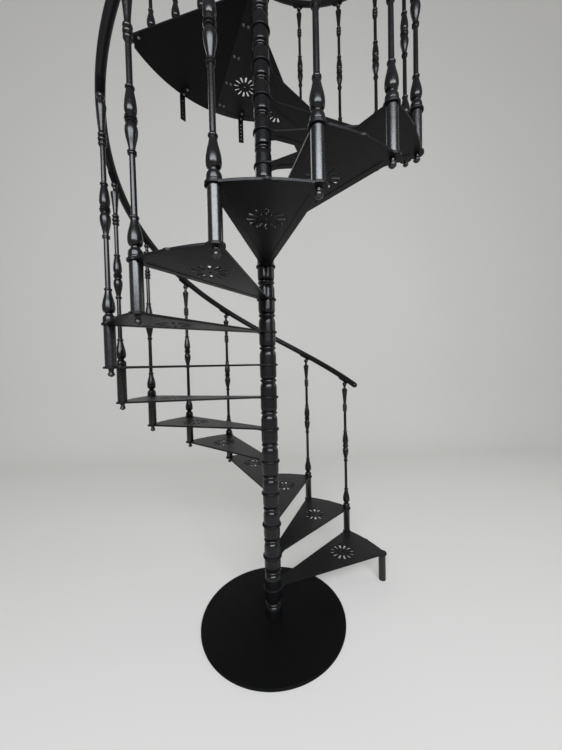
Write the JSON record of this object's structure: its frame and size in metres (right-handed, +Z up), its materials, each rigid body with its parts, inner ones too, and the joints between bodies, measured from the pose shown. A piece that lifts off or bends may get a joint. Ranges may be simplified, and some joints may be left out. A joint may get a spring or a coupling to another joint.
{
  "type": "spiral staircase",
  "caption": "Black cast-metal spiral staircase with wedge treads round a turned column, turned balusters, a round helical handrail and a quarter landing.",
  "frame": {"origin": "on the column's axis at floor level, on the underside of the base disc", "axes": "+Z up along the column; -Y points to where the picture was taken from; +X is to the right in that view; seen from above the stair climbs counter-clockwise"},
  "size_m": [1.638, 1.6579, 4.6455],
  "materials": {
    "black_casting": "satin black paint over a slightly grainy casting",
    "black_tube": "satin black paint on smooth tube",
    "black_plate": "satin black paint on flat plate"
  },
  "bodies": {
    "root": {"baluster_nuts": "black_casting", "balusters": "black_casting", "column_sections": "black_casting", "landing_balusters": "black_casting", "landing_step": "black_casting", "newel_cap": "black_casting", "newel_rings": "black_casting", "newel_sections": "black_casting", "tread_01": "black_casting", "tread_02": "black_casting", "tread_03": "black_casting", "tread_04": "black_casting", "tread_05": "black_casting", "tread_06": "black_casting", "tread_07": "black_casting", "tread_08": "black_casting", "tread_09": "black_casting", "tread_10": "black_casting", "tread_11": "black_casting", "tread_12": "black_casting", "tread_13": "black_casting", "tread_14": "black_casting", "tread_15": "black_casting", "tread_16": "black_casting", "tread_17": "black_casting", "tread_18": "black_casting", "centre_pole": "black_tube", "first_tread_post": "black_tube", "handrail": "black_tube", "handrail_ends": "black_tube", "landing_rail": "black_tube", "spacer_tubes": "black_tube", "base_plate": "black_plate", "handrail_saddles": "black_plate", "landing_plate": "black_plate", "landing_saddles": "black_plate", "wall_straps": "black_plate"}
  },
  "joints": []
}
